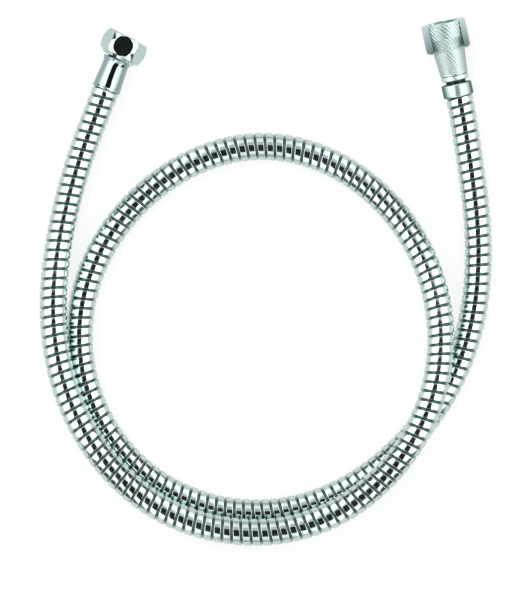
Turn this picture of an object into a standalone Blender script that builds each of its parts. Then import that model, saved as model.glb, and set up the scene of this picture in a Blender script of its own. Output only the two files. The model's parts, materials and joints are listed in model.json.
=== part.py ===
"""Shower hose of ribbed PVC, 1.25 m long, with a union nut on each end.

The hose lies on the floor in a loop of about one and a half turns, on top of itself where it
passes twice. One end carries a short barrel nut with six flats, the other a long bell nut with
two grip wings. Each nut hangs on a tail: a flanged spigot that is pushed into the hose and held
by a crimped ferrule. A rubber washer lies on each flange.

Every fitting is drawn along its own +Z, from the lip of its ferrule towards the nut's mouth,
with +X level and +Y down, and is then placed by the frame of its end.
"""
import math

import bmesh
import bpy
import numpy as np
from mathutils import Matrix, Vector

MM = 0.001

# Hose
HOSE_OD = 15.0 * MM
HOSE_CRIMPED_OD = 13.2 * MM      # the end of the hose, squeezed inside a ferrule
CRIMP_STEP = 0.8 * MM            # length over which the hose narrows at a ferrule
TUBE_POINTS = 74                 # points of the free hose, without its two crimped ends
CURVE_STEPS = 40                 # steps from one point of the route to the next
TUBE_BEVEL_RESOLUTION = 4        # a tube of twelve sides

# The free hose from the hex ferrule to the cone ferrule, in mm: plan place and height of the
# centreline. The first arm lies over the loop, crosses it at the lower right and comes down to
# the floor, where the loop passes under it again and runs out to the second arm.
HOSE_ROUTE = [
    (-99.7, 75.1, 9.2), (-109.4, 42.6, 10.6), (-115.6, 8.8, 13.4), (-116.5, -25.1, 16.3),
    (-110.3, -57.9, 18.6), (-96.1, -88.0, 19.8), (-74.4, -113.0, 20.2), (-46.4, -130.1, 20.4),
    (-13.9, -137.6, 21.1), (19.2, -134.6, 21.9), (49.3, -120.4, 22.7), (73.7, -96.9, 23.4),
    (89.8, -67.5, 22.7), (95.9, -34.8, 19.9), (91.8, -2.0, 16.2), (77.9, 28.2, 12.8),
    (55.3, 52.9, 10.2), (26.3, 69.1, 8.5), (-6.1, 74.0, 7.7), (-38.1, 66.1, 7.6),
    (-66.6, 47.5, 7.5), (-88.3, 21.3, 7.5), (-100.6, -9.8, 7.5), (-102.0, -42.9, 7.5),
    (-92.2, -74.7, 7.5), (-72.5, -101.4, 7.5), (-44.6, -119.6, 7.5), (-12.1, -127.5, 7.5),
    (20.4, -124.3, 7.5), (50.4, -111.2, 7.5), (76.3, -90.2, 7.5), (96.9, -63.2, 7.5),
    (110.5, -32.2, 7.5), (116.4, 0.8, 7.5), (116.1, 34.7, 7.5), (111.9, 68.4, 7.5),
]

# Where the two ferrule lips lie in plan, and which way the fittings point, clockwise from +Y
HEX_LIP_PLAN = (-88.0 * MM, 105.4 * MM)
HEX_TAIL_AZIMUTH = math.radians(21.0)
HEX_TAIL_PITCH = math.radians(3.5)
HEX_NUT_AZIMUTH = math.radians(28.5)     # the loose nut leans on its tail
CONE_LIP_PLAN = (106.2 * MM, 101.8 * MM)
CONE_AZIMUTH = math.radians(-12.5)

# What meets without being one piece keeps this gap
GAP = 0.3 * MM
ROUND_STEPS = 40
ARC_STEPS = 8                    # steps along a short arc

# Tails: a spigot in the hose, a neck through the nut's shoulder and a flange inside the nut
SPIGOT_OD = 8.6 * MM
SPIGOT_DEPTH = 13.0 * MM         # how far the spigot reaches into the hose
BARB_HEIGHT = 0.35 * MM
BARB_PITCH = 3.6 * MM
BARB_COUNT = 3
BARB_TOP = 0.75                  # where a barb is highest, as a share of its pitch
BARB_FOOT = 0.8                  # where it has dropped to the spigot again
WATERWAY = 6.6 * MM
NECK_OD = 11.0 * MM
FLANGE_OD = 17.6 * MM
FLANGE_THICKNESS = 1.4 * MM

# Washers
WASHER_OD = 17.8 * MM
WASHER_BORE = 9.0 * MM
WASHER_THICKNESS = 2.0 * MM

# Ferrules
FERRULE_FLOOR = 1.2 * MM         # the inturned end that grips behind the hose
HEX_FERRULE_LENGTH = 17.9 * MM
HEX_FERRULE_LIP_OD = 16.2 * MM
HEX_FERRULE_OD = 15.6 * MM
HEX_FERRULE_WAIST_OD = 14.2 * MM
HEX_FERRULE_FLARE_OD = 16.2 * MM # the flared end, close behind the nut
HEX_FERRULE_FLARE = [(0.0, 0.0), (0.36, 0.17), (0.7, 0.55), (1.0, 1.0)]   # length and rise
HEX_FERRULE_FLARE_LENGTH = 3.3 * MM
HEX_FERRULE_EDGE = 0.3 * MM
HEX_FERRULE_BEAD = 1.4 * MM      # length of the rolled bead at the lip
CONE_FERRULE_LENGTH = 7.3 * MM
CONE_FERRULE_OD = 16.8 * MM
CONE_FERRULE_ROUND = 0.8 * MM
ROUND_MIDDLE = 0.3               # how far the middle of a rounded edge lies from its corner

# Nuts: G1/2 sockets, bored to the root of the thread
THREAD_ROOT = 20.95 * MM
MOUTH_CHAMFER = 0.5 * MM
HEX_LENGTH = 11.8 * MM
HEX_BARREL_OD = 25.6 * MM        # across the barrel at its middle
HEX_BARREL_END_OD = 22.9 * MM
HEX_FLATS = 23.0 * MM            # across two flats
HEX_SHOULDER = 1.8 * MM
HEX_HOLE = 13.0 * MM
HEX_SKIRT_LENGTH = 1.5 * MM      # the nut's skirt hides the flared end of the ferrule
HEX_SKIRT_WALL = 0.5 * MM        # at its tip
HEX_SKIRT_ROOT = 1.2 * MM        # wall at the nut's back
HEX_NUT_CLEARANCE = 1.6 * MM     # ferrule to the nut's back, along the tail
CONE_LENGTH = 32.7 * MM
CONE_MOUTH_OD = 24.7 * MM        # across the wings
CONE_RIM_OD = 24.3 * MM
CONE_BODY_OD = 17.6 * MM         # where the wings end, and as wide as the knurled front
CONE_NECK_OD = 15.4 * MM         # where the knurl ends
CONE_COLLAR_OD = 15.0 * MM
CONE_COLLAR_LENGTH = 4.0 * MM
CONE_GROOVE = 0.5 * MM           # width and depth of the groove behind the collar
CONE_WING_LENGTH = 16.0 * MM
CONE_WING_ROUND = 1.6 * MM
CONE_BELL = [(0.22, 0.32), (0.44, 0.70), (0.68, 0.86)]   # along the wings, and out to the rim
CONE_CORE = 1.0 * MM             # radius left open along the axis until the socket is cut
CONE_THREAD_DEPTH = 7.0 * MM
CONE_SEAT_BORE = 18.8 * MM
CONE_SEAT_DEPTH = 10.6 * MM      # from the mouth to the shoulder
CONE_HOLE = 12.2 * MM
CONE_NUT_CLEARANCE = 1.8 * MM    # ferrule to the nut's small end

PVC_SILVER = ((0.62, 0.68, 0.68), 0.9, 0.22)
CHROME = ((0.78, 0.82, 0.82), 1.0, 0.08)
SATIN_CHROME = ((0.70, 0.75, 0.75), 1.0, 0.30)
BRASS = ((0.72, 0.58, 0.30), 1.0, 0.30)
RUBBER = ((0.03, 0.03, 0.03), 0.0, 0.75)


def clear_scene():
    for old in list(bpy.data.objects):
        bpy.data.objects.remove(old, do_unlink=True)


def make_material(name, finish):
    """A Principled material from a colour, a metallic value and a roughness."""
    color, metallic, roughness = finish
    material = bpy.data.materials.new(name)
    material.use_nodes = True
    shader = material.node_tree.nodes["Principled BSDF"]
    shader.inputs["Base Color"].default_value = (*color, 1.0)
    shader.inputs["Metallic"].default_value = metallic
    shader.inputs["Roughness"].default_value = roughness
    material.diffuse_color = (*color, 1.0)
    return material


def add_object(name, mesh, frame):
    piece = bpy.data.objects.new(name, mesh)
    bpy.context.scene.collection.objects.link(piece)
    piece.matrix_world = frame
    return piece


def finish_mesh(bm, name):
    """Weld, turn the faces outward and shade smooth with crisp edges."""
    bmesh.ops.remove_doubles(bm, verts=bm.verts, dist=1e-7)
    bmesh.ops.recalc_face_normals(bm, faces=bm.faces)
    mesh = bpy.data.meshes.new(name)
    bm.to_mesh(mesh)
    bm.free()
    mesh.shade_smooth()
    mesh.set_sharp_from_angle(angle=math.radians(30))
    return mesh


def turned(name, profile, frame):
    """A solid of revolution about +Z from a closed outline of (radius, height)."""
    bm = bmesh.new()
    corners = [bm.verts.new((radius, 0.0, height)) for radius, height in profile]
    outline = [bm.edges.new((a, b)) for a, b in zip(corners, corners[1:] + corners[:1])]
    bmesh.ops.spin(bm, geom=corners + outline, cent=(0, 0, 0), axis=(0, 0, 1),
                   angle=math.tau, steps=ROUND_STEPS, use_merge=True)
    return add_object(name, finish_mesh(bm, name), frame)


def prism(name, outline, bottom, top, frame, rounding=0.0):
    """A flat outline of (x, y) carried from bottom to top; its bottom rim may be rounded."""
    bm = bmesh.new()
    base = bm.faces.new([bm.verts.new((x, y, bottom)) for x, y in outline])
    grown = bmesh.ops.extrude_face_region(bm, geom=[base])["geom"]
    moved = [item for item in grown if isinstance(item, bmesh.types.BMVert)]
    bmesh.ops.translate(bm, verts=moved, vec=(0, 0, top - bottom))
    if rounding > 0.0:
        rim = [edge for edge in bm.edges if all(abs(v.co.z - bottom) < GAP / 10 for v in edge.verts)]
        bmesh.ops.bevel(bm, geom=rim, offset=rounding, offset_type='OFFSET', segments=3,
                        profile=0.5, affect='EDGES')
    return add_object(name, finish_mesh(bm, name), frame)


def boolean(piece, tool, operation):
    """Cut, join or intersect a piece with a tool, which becomes a hidden guide."""
    modifier = piece.modifiers.new(tool.name, 'BOOLEAN')
    modifier.operation = operation
    modifier.solver = 'EXACT'
    modifier.object = tool
    tool.hide_render = True
    tool.display_type = 'WIRE'


def end_frame(place, azimuth, pitch):
    """The frame of a fitting: +Z to its mouth, +X level, +Y down."""
    forward = Vector((math.sin(azimuth) * math.cos(pitch), math.cos(azimuth) * math.cos(pitch),
                      math.sin(pitch)))
    level = Vector((math.cos(azimuth), -math.sin(azimuth), 0.0))
    down = forward.cross(level)
    frame = Matrix((level, down, forward)).transposed().to_4x4()
    frame.translation = place
    return frame


def along(frame, distance):
    """The same frame, moved along its own axis."""
    return frame @ Matrix.Translation((0.0, 0.0, distance))


# Stations along the two tails, from the ferrule's lip
HEX_CROSSING = HEX_FERRULE_LENGTH + HEX_NUT_CLEARANCE + HEX_SHOULDER / 2
CONE_NUT_START = CONE_FERRULE_LENGTH + CONE_NUT_CLEARANCE
CONE_MOUTH = CONE_NUT_START + CONE_LENGTH


def hex_tail_frame():
    """The hex tail, as high as its nut's axis is where the two axes cross."""
    rise = HEX_CROSSING * math.sin(HEX_TAIL_PITCH)
    return end_frame((*HEX_LIP_PLAN, HEX_FLATS / 2 - rise), HEX_TAIL_AZIMUTH, HEX_TAIL_PITCH)


def hex_nut_frame():
    """The hex nut lies on one flat. Its origin is in the middle of its shoulder."""
    return end_frame(along(hex_tail_frame(), HEX_CROSSING).translation, HEX_NUT_AZIMUTH, 0.0)


def cone_frame():
    """The cone end rests on its nut's rim and on its ferrule, which are of unlike size."""
    rim_station = CONE_MOUTH - MOUTH_CHAMFER
    pitch = math.atan2((CONE_RIM_OD - CONE_FERRULE_OD) / 2, rim_station - CONE_FERRULE_ROUND)
    height = CONE_FERRULE_OD / 2 * math.cos(pitch) - CONE_FERRULE_ROUND * math.sin(pitch)
    return end_frame((*CONE_LIP_PLAN, height), CONE_AZIMUTH, pitch)


def lean_angle():
    """The angle between the hex nut's axis and its tail's."""
    nut_axis = hex_nut_frame().col[2].to_3d()
    tail_axis = hex_tail_frame().col[2].to_3d()
    return nut_axis.angle(tail_axis)


def hex_skirt_bore():
    """Radius of the nut's skirt inside, which clears the leaning ferrule's flared end."""
    lean = lean_angle()
    reach = HEX_CROSSING - HEX_FERRULE_LENGTH + HEX_FERRULE_EDGE
    return HEX_FERRULE_FLARE_OD / 2 * math.cos(lean) + reach * math.sin(lean) + GAP


def smooth_route():
    """Centreline points of the free hose, evenly spaced, on a cubic curve through the route.

    The curve leaves the hex ferrule and enters the cone ferrule along their axes.
    """
    start = hex_tail_frame()
    end = cone_frame()
    chosen = [np.array(point) * MM for point in HOSE_ROUTE]
    knots = np.array([np.array(start.translation), *chosen, np.array(end.translation)])
    spans = np.linalg.norm(np.diff(knots, axis=0), axis=1)
    count = len(knots)
    system = np.zeros((count, count))
    wanted = np.zeros_like(knots)
    system[0, 0] = 1.0
    system[-1, -1] = 1.0
    wanted[0] = -np.array(start.col[2].to_3d())
    wanted[-1] = np.array(end.col[2].to_3d())
    for i in range(1, count - 1):
        before = spans[i - 1]
        after = spans[i]
        system[i, i - 1:i + 2] = (1 / before, 2 / before + 2 / after, 1 / after)
        rise_before = (knots[i] - knots[i - 1]) / before ** 2
        rise_after = (knots[i + 1] - knots[i]) / after ** 2
        wanted[i] = 3 * (rise_before + rise_after)
    slopes = np.linalg.solve(system, wanted)

    fine = []
    for i, span in enumerate(spans):
        t = np.linspace(0.0, 1.0, CURVE_STEPS, endpoint=(i == count - 2))[:, None]
        fine.append((2 * t ** 3 - 3 * t ** 2 + 1) * knots[i]
                    + (t ** 3 - 2 * t ** 2 + t) * span * slopes[i]
                    + (3 * t ** 2 - 2 * t ** 3) * knots[i + 1]
                    + (t ** 3 - t ** 2) * span * slopes[i + 1])
    fine = np.concatenate(fine)
    travelled = np.concatenate([[0.0], np.cumsum(np.linalg.norm(np.diff(fine, axis=0), axis=1))])
    stations = np.linspace(0.0, travelled[-1], TUBE_POINTS)
    return np.stack([np.interp(stations, travelled, fine[:, k]) for k in range(3)], axis=1)


def hose_end(ferrule_length):
    """How far past the lip the hose reaches into a ferrule."""
    return ferrule_length - FERRULE_FLOOR - GAP


def make_hose():
    """The hose: one tube, squeezed inside both ferrules and bored there for the spigots."""
    free = smooth_route()
    squeezed = HOSE_CRIMPED_OD / HOSE_OD
    hex_frame = hex_tail_frame()
    cone_axis_frame = cone_frame()
    hex_depth = hose_end(HEX_FERRULE_LENGTH)
    cone_depth = hose_end(CONE_FERRULE_LENGTH)
    stretch = [
        (along(hex_frame, hex_depth).translation, squeezed),
        (along(hex_frame, -GAP).translation, squeezed),
        (along(hex_frame, -GAP - CRIMP_STEP).translation, 1.0),
        *[(point, 1.0) for point in free[1:-1]],
        (along(cone_axis_frame, -GAP - CRIMP_STEP).translation, 1.0),
        (along(cone_axis_frame, -GAP).translation, squeezed),
        (along(cone_axis_frame, cone_depth).translation, squeezed),
    ]
    curve = bpy.data.curves.new("hose", 'CURVE')
    curve.dimensions = '3D'
    curve.bevel_depth = HOSE_OD / 2
    curve.bevel_resolution = TUBE_BEVEL_RESOLUTION
    curve.use_fill_caps = True
    spline = curve.splines.new('POLY')
    spline.points.add(len(stretch) - 1)
    for point, (place, radius) in zip(spline.points, stretch):
        point.co = (*place, 1.0)
        point.radius = radius
    guide = add_object("hose_guide", curve, Matrix())

    bpy.context.view_layer.update()
    graph = bpy.context.evaluated_depsgraph_get()
    bm = bmesh.new()
    bm.from_mesh(bpy.data.meshes.new_from_object(guide.evaluated_get(graph)))
    bpy.data.objects.remove(guide, do_unlink=True)
    hose = add_object("hose", finish_mesh(bm, "hose"), Matrix())

    for name, frame, depth in (("hex", hex_frame, hex_depth), ("cone", cone_axis_frame, cone_depth)):
        bore = turned(name + "_spigot_bore", [
            (0.0, depth - SPIGOT_DEPTH - GAP),
            (SPIGOT_OD / 2 + BARB_HEIGHT + GAP, depth - SPIGOT_DEPTH - GAP),
            (SPIGOT_OD / 2 + BARB_HEIGHT + GAP, depth + GAP * 2),
            (0.0, depth + GAP * 2),
        ], frame)
        boolean(hose, bore, 'DIFFERENCE')
    hose.data.materials.append(make_material("silver_pvc", PVC_SILVER))


def make_tail(name, frame, ferrule_length, flange_back):
    """A turned tail: barbed spigot, neck and flange, with the waterway right through."""
    inner = hose_end(ferrule_length)
    tip = inner - SPIGOT_DEPTH
    outline = [(WATERWAY / 2, tip)]
    for barb in range(BARB_COUNT):
        foot = tip + barb * BARB_PITCH
        outline.append((SPIGOT_OD / 2, foot))
        outline.append((SPIGOT_OD / 2 + BARB_HEIGHT, foot + BARB_PITCH * BARB_TOP))
        outline.append((SPIGOT_OD / 2, foot + BARB_PITCH * BARB_FOOT))
    outline += [
        (SPIGOT_OD / 2, inner + GAP),
        (NECK_OD / 2, inner + GAP),
        (NECK_OD / 2, flange_back),
        (FLANGE_OD / 2, flange_back),
        (FLANGE_OD / 2, flange_back + FLANGE_THICKNESS),
        (WATERWAY / 2, flange_back + FLANGE_THICKNESS),
    ]
    tail = turned(name, outline, frame)
    tail.data.materials.append(make_material(name + "_brass", BRASS))


def make_washer(name, frame, seat):
    """A flat rubber washer that lies on a tail's flange."""
    bottom = seat + GAP
    top = bottom + WASHER_THICKNESS
    washer = turned(name, [
        (WASHER_BORE / 2, bottom),
        (WASHER_OD / 2, bottom),
        (WASHER_OD / 2, top),
        (WASHER_BORE / 2, top),
    ], frame)
    washer.data.materials.append(make_material(name + "_rubber", RUBBER))


def ferrule_inside(length):
    """The inside of a ferrule, from its floor's hole out to its lip."""
    floor = length - FERRULE_FLOOR
    bore = HOSE_CRIMPED_OD / 2 + GAP
    return [
        (NECK_OD / 2 + GAP, length),
        (NECK_OD / 2 + GAP, floor),
        (bore, floor),
        (bore, 0.0),
    ]


def make_hex_ferrule(frame):
    """A drawn sleeve with a rolled bead at its lip, a waist and a flared end behind the nut."""
    bead = HEX_FERRULE_BEAD
    edge = HEX_FERRULE_EDGE
    flare_end = HEX_FERRULE_LENGTH - edge
    flare_start = flare_end - HEX_FERRULE_FLARE_LENGTH
    rise = (HEX_FERRULE_FLARE_OD - HEX_FERRULE_WAIST_OD) / 2
    flare = [(HEX_FERRULE_WAIST_OD / 2 + rise * up, flare_start + HEX_FERRULE_FLARE_LENGTH * length)
             for length, up in HEX_FERRULE_FLARE]
    ferrule = turned("hex_ferrule", ferrule_inside(HEX_FERRULE_LENGTH) + [
        (HEX_FERRULE_LIP_OD / 2 - edge, 0.0),
        (HEX_FERRULE_LIP_OD / 2, edge),
        (HEX_FERRULE_LIP_OD / 2, bead - edge),
        (HEX_FERRULE_OD / 2, bead),
        *flare,
        (HEX_FERRULE_FLARE_OD / 2 - edge, HEX_FERRULE_LENGTH),
    ], frame)
    ferrule.data.materials.append(make_material("hex_ferrule_chrome", CHROME))


def make_cone_ferrule(frame):
    """A short plain band with rounded edges."""
    outer = CONE_FERRULE_OD / 2
    edge = CONE_FERRULE_ROUND
    ferrule = turned("cone_ferrule", ferrule_inside(CONE_FERRULE_LENGTH) + [
        (outer - edge, 0.0),
        (outer - edge * ROUND_MIDDLE, edge * ROUND_MIDDLE),
        (outer, edge),
        (outer, CONE_FERRULE_LENGTH - edge),
        (outer - edge * ROUND_MIDDLE, CONE_FERRULE_LENGTH - edge * ROUND_MIDDLE),
        (outer - edge, CONE_FERRULE_LENGTH),
    ], frame)
    ferrule.data.materials.append(make_material("cone_ferrule_chrome", CHROME))


def barrel_profile():
    """The crowned outside of the hex nut, as an arc through its ends and its middle."""
    half = HEX_LENGTH / 2
    bulge = (HEX_BARREL_OD - HEX_BARREL_END_OD) / 2
    arc_radius = (half ** 2 + bulge ** 2) / (2 * bulge)
    middle = half - HEX_SHOULDER / 2
    heights = [half * (-1 + 2 * step / ARC_STEPS) for step in range(ARC_STEPS + 1)]
    return [(HEX_BARREL_OD / 2 - arc_radius + math.sqrt(arc_radius ** 2 - height ** 2), middle + height)
            for height in heights]


def make_hex_nut(frame):
    """A short crowned nut with six round flats and a skirt, lying on one flat."""
    back = -HEX_SHOULDER / 2
    mouth = back + HEX_LENGTH
    skirt = hex_skirt_bore()
    nut = turned("hex_nut", barrel_profile() + [
        (THREAD_ROOT / 2 + MOUTH_CHAMFER, mouth),
        (THREAD_ROOT / 2, mouth - MOUTH_CHAMFER),
        (THREAD_ROOT / 2, -back),
        (HEX_HOLE / 2, -back),
        (HEX_HOLE / 2, back),
        (skirt, back),
        (skirt, back - HEX_SKIRT_LENGTH),
        (skirt + HEX_SKIRT_WALL, back - HEX_SKIRT_LENGTH),
        (skirt + HEX_SKIRT_ROOT, back),
    ], frame)
    corner = HEX_FLATS / math.sqrt(3)
    angles = [math.radians(60 * side) for side in range(6)]
    flats = prism("hex_nut_flats", [(corner * math.cos(a), corner * math.sin(a)) for a in angles],
                  back - HEX_SKIRT_LENGTH * 2, mouth + HEX_SHOULDER, frame)
    boolean(nut, flats, 'INTERSECT')
    nut.data.materials.append(make_material("hex_nut_chrome", CHROME))


def wing_outline(side):
    """The segment of the nut's outer circle beyond the knurled front, on one side."""
    reach = CONE_MOUTH_OD / 2
    half_angle = math.acos(CONE_BODY_OD / CONE_MOUTH_OD)
    angles = [half_angle * (-1 + 2 * step / ARC_STEPS) for step in range(ARC_STEPS + 1)]
    return [(side * reach * math.cos(a), side * reach * math.sin(a)) for a in angles]


def make_cone_nut(frame):
    """A long bell-shaped nut: a turned body with two smooth wings, then the socket cut out."""
    mouth = CONE_LENGTH
    rim = CONE_RIM_OD / 2
    body = CONE_BODY_OD / 2
    neck = CONE_NECK_OD / 2
    collar = CONE_COLLAR_OD / 2
    wing_end = mouth - CONE_WING_LENGTH
    groove = CONE_COLLAR_LENGTH
    nut = turned("cone_nut", [
        (CONE_CORE, 0.0),
        (collar - MOUTH_CHAMFER, 0.0),
        (collar, MOUTH_CHAMFER),
        (collar, groove),
        (collar - CONE_GROOVE, groove),
        (collar - CONE_GROOVE, groove + CONE_GROOVE),
        (neck, groove + CONE_GROOVE),
        ((neck + body) / 2, (groove + wing_end) / 2),
        (body, wing_end),
        *[(body + (rim - body) * out, wing_end + CONE_WING_LENGTH * up) for up, out in CONE_BELL],
        (rim, mouth - MOUTH_CHAMFER),
        (rim - MOUTH_CHAMFER, mouth),
        (CONE_CORE, mouth),
    ], frame)
    for side in (-1, 1):
        name = "cone_nut_left_wing" if side < 0 else "cone_nut_right_wing"
        wing = prism(name, wing_outline(side), wing_end, mouth - MOUTH_CHAMFER / 2, frame,
                     CONE_WING_ROUND)
        boolean(nut, wing, 'UNION')
    shoulder = mouth - CONE_SEAT_DEPTH
    thread_end = mouth - CONE_THREAD_DEPTH
    socket = turned("cone_nut_socket", [
        (0.0, -MOUTH_CHAMFER),
        (CONE_HOLE / 2, -MOUTH_CHAMFER),
        (CONE_HOLE / 2, shoulder),
        (CONE_SEAT_BORE / 2, shoulder),
        (CONE_SEAT_BORE / 2, thread_end),
        (THREAD_ROOT / 2, thread_end),
        (THREAD_ROOT / 2, mouth - MOUTH_CHAMFER),
        (THREAD_ROOT / 2 + MOUTH_CHAMFER * 2, mouth + MOUTH_CHAMFER),
        (0.0, mouth + MOUTH_CHAMFER),
    ], frame)
    boolean(nut, socket, 'DIFFERENCE')
    nut.data.materials.append(make_material("cone_nut_chrome", SATIN_CHROME))


def make_hex_end():
    tail = hex_tail_frame()
    lean = lean_angle()
    shoulder_face = HEX_CROSSING + HEX_SHOULDER / 2 / math.cos(lean)
    flange_back = shoulder_face + FLANGE_OD / 2 * math.tan(lean) + GAP
    make_hex_ferrule(tail)
    make_tail("hex_tail", tail, HEX_FERRULE_LENGTH, flange_back)
    make_washer("hex_washer", tail, flange_back + FLANGE_THICKNESS)
    make_hex_nut(hex_nut_frame())


def make_cone_end():
    frame = cone_frame()
    flange_back = CONE_MOUTH - CONE_SEAT_DEPTH + GAP
    make_cone_ferrule(frame)
    make_tail("cone_tail", frame, CONE_FERRULE_LENGTH, flange_back)
    make_washer("cone_washer", frame, flange_back + FLANGE_THICKNESS)
    make_cone_nut(along(frame, CONE_NUT_START))


clear_scene()
make_hose()
make_hex_end()
make_cone_end()
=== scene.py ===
# %% [markdown]
# # A ribbed shower hose, seen from above
#
# The object is 1.25 m of silver PVC hose that lies in a loop on the floor, with a union nut on each
# end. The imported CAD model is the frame: it fixes every size and place. This lesson dresses it with
# ribs, threads, a knurl and real finishes.

# %% Load the frame
import json
import math

import bmesh
import bpy
import numpy as np
from mathutils import Matrix, Vector


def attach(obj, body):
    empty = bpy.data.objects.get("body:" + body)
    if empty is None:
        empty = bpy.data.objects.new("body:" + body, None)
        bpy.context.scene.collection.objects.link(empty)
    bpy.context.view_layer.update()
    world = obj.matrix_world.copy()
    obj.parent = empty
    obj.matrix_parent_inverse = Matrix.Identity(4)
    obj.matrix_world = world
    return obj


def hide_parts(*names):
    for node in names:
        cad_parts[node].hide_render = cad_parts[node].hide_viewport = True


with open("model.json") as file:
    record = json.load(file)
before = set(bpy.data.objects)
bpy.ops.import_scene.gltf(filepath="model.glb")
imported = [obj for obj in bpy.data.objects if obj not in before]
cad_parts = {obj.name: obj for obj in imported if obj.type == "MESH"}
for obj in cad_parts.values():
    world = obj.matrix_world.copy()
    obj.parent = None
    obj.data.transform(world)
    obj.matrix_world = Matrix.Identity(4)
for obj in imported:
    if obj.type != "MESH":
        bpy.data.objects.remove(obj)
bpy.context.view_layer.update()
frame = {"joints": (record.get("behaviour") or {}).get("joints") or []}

MM = 0.001
joints = {joint["name"]: joint for joint in frame["joints"]}

# %% [markdown]
# ## The camera
#
# The photograph looks straight down, with next to no perspective, so the camera hangs high and has a
# long lens. One pixel of the 519 by 600 frame is 0.55 mm. That scale holds at the height of the
# middle of the pile of hose, because a camera shows what is nearer a little larger.

# %% Camera
FRAME_PIXELS = (519, 600)
PIXEL = 0.55 * MM
MIDDLE_OF_MODEL_PIXEL = (266.0, 281.0)
SCALE_LEVEL = 12 * MM
CAMERA_HEIGHT = 4.0
SENSOR = 36.0                    # mm, along the longer side of the frame
CLIP_END = 20.0

camera_data = bpy.data.cameras.new("overhead_camera")
camera = bpy.data.objects.new("overhead_camera", camera_data)
bpy.context.scene.collection.objects.link(camera)
camera.location = (
    (FRAME_PIXELS[0] / 2 - MIDDLE_OF_MODEL_PIXEL[0]) * PIXEL,
    (MIDDLE_OF_MODEL_PIXEL[1] - FRAME_PIXELS[1] / 2) * PIXEL,
    CAMERA_HEIGHT,
)
camera_data.sensor_width = SENSOR
view_height = FRAME_PIXELS[1] * PIXEL
camera_data.lens = camera_data.sensor_width * (CAMERA_HEIGHT - SCALE_LEVEL) / view_height
camera_data.clip_end = CLIP_END
bpy.context.scene.camera = camera
print(f"lens {camera_data.lens:.0f} mm at {CAMERA_HEIGHT} m")

# %% [markdown]
# ## The line that the hose follows
#
# A hose can't be drawn from straight runs and arcs: it would look like bent wire. A few points were
# chosen along its middle, and one cubic curve runs through them. Its two ends leave the
# ferrules straight, because a ferrule holds the hose stiff. The points are the same as in the CAD.

# %% Frames of the two ends
HEX_LIP = Vector((-88.0, 105.4, 10.2546)) * MM
HEX_TAIL_AZIMUTH = math.radians(21.0)
HEX_TAIL_PITCH = math.radians(3.5)
CONE_LIP = Vector((106.2, 101.8, 8.2905)) * MM
CONE_AZIMUTH = math.radians(-12.5)
CONE_PITCH = math.radians(5.2901)


def end_frame(place, azimuth, pitch):
    """The frame of a fitting: +Z to its mouth, +X level, +Y down."""
    forward = Vector((math.sin(azimuth) * math.cos(pitch), math.cos(azimuth) * math.cos(pitch),
                      math.sin(pitch)))
    level = Vector((math.cos(azimuth), -math.sin(azimuth), 0.0))
    down = forward.cross(level)
    placed = Matrix((level, down, forward)).transposed().to_4x4()
    placed.translation = place
    return placed


hex_tail = end_frame(HEX_LIP, HEX_TAIL_AZIMUTH, HEX_TAIL_PITCH)
cone_end = end_frame(CONE_LIP, CONE_AZIMUTH, CONE_PITCH)

# %% Route of the hose
CURVE_STEPS = 120                # between two chosen points
HOSE_ROUTE = [                   # the chosen points, in mm
    (-99.7, 75.1, 9.2), (-109.4, 42.6, 10.6), (-115.6, 8.8, 13.4), (-116.5, -25.1, 16.3),
    (-110.3, -57.9, 18.6), (-96.1, -88.0, 19.8), (-74.4, -113.0, 20.2), (-46.4, -130.1, 20.4),
    (-13.9, -137.6, 21.1), (19.2, -134.6, 21.9), (49.3, -120.4, 22.7), (73.7, -96.9, 23.4),
    (89.8, -67.5, 22.7), (95.9, -34.8, 19.9), (91.8, -2.0, 16.2), (77.9, 28.2, 12.8),
    (55.3, 52.9, 10.2), (26.3, 69.1, 8.5), (-6.1, 74.0, 7.7), (-38.1, 66.1, 7.6),
    (-66.6, 47.5, 7.5), (-88.3, 21.3, 7.5), (-100.6, -9.8, 7.5), (-102.0, -42.9, 7.5),
    (-92.2, -74.7, 7.5), (-72.5, -101.4, 7.5), (-44.6, -119.6, 7.5), (-12.1, -127.5, 7.5),
    (20.4, -124.3, 7.5), (50.4, -111.2, 7.5), (76.3, -90.2, 7.5), (96.9, -63.2, 7.5),
    (110.5, -32.2, 7.5), (116.4, 0.8, 7.5), (116.1, 34.7, 7.5), (111.9, 68.4, 7.5),
]


def curve_through(points, leaving, arriving, steps):
    """A cubic curve through the points, with its direction given at both ends."""
    knots = np.array(points)
    spans = np.linalg.norm(np.diff(knots, axis=0), axis=1)
    count = len(knots)
    system = np.zeros((count, count))
    wanted = np.zeros_like(knots)
    system[0, 0] = 1.0
    system[-1, -1] = 1.0
    wanted[0] = leaving
    wanted[-1] = arriving
    for i in range(1, count - 1):
        before = spans[i - 1]
        after = spans[i]
        system[i, i - 1:i + 2] = (1 / before, 2 / before + 2 / after, 1 / after)
        rise_before = (knots[i] - knots[i - 1]) / before ** 2
        rise_after = (knots[i + 1] - knots[i]) / after ** 2
        wanted[i] = 3 * (rise_before + rise_after)
    slopes = np.linalg.solve(system, wanted)
    fine = []
    for i, span in enumerate(spans):
        t = np.linspace(0.0, 1.0, steps, endpoint=(i == count - 2))[:, None]
        fine.append((2 * t ** 3 - 3 * t ** 2 + 1) * knots[i]
                    + (t ** 3 - 2 * t ** 2 + t) * span * slopes[i]
                    + (3 * t ** 2 - 2 * t ** 3) * knots[i + 1]
                    + (t ** 3 - t ** 2) * span * slopes[i + 1])
    return np.concatenate(fine)


chosen = [list(HEX_LIP)] + [[value * MM for value in point] for point in HOSE_ROUTE] + [list(CONE_LIP)]
free_line = curve_through(chosen, -np.array(hex_tail.col[2].to_3d()), np.array(cone_end.col[2].to_3d()),
                          CURVE_STEPS)

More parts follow.
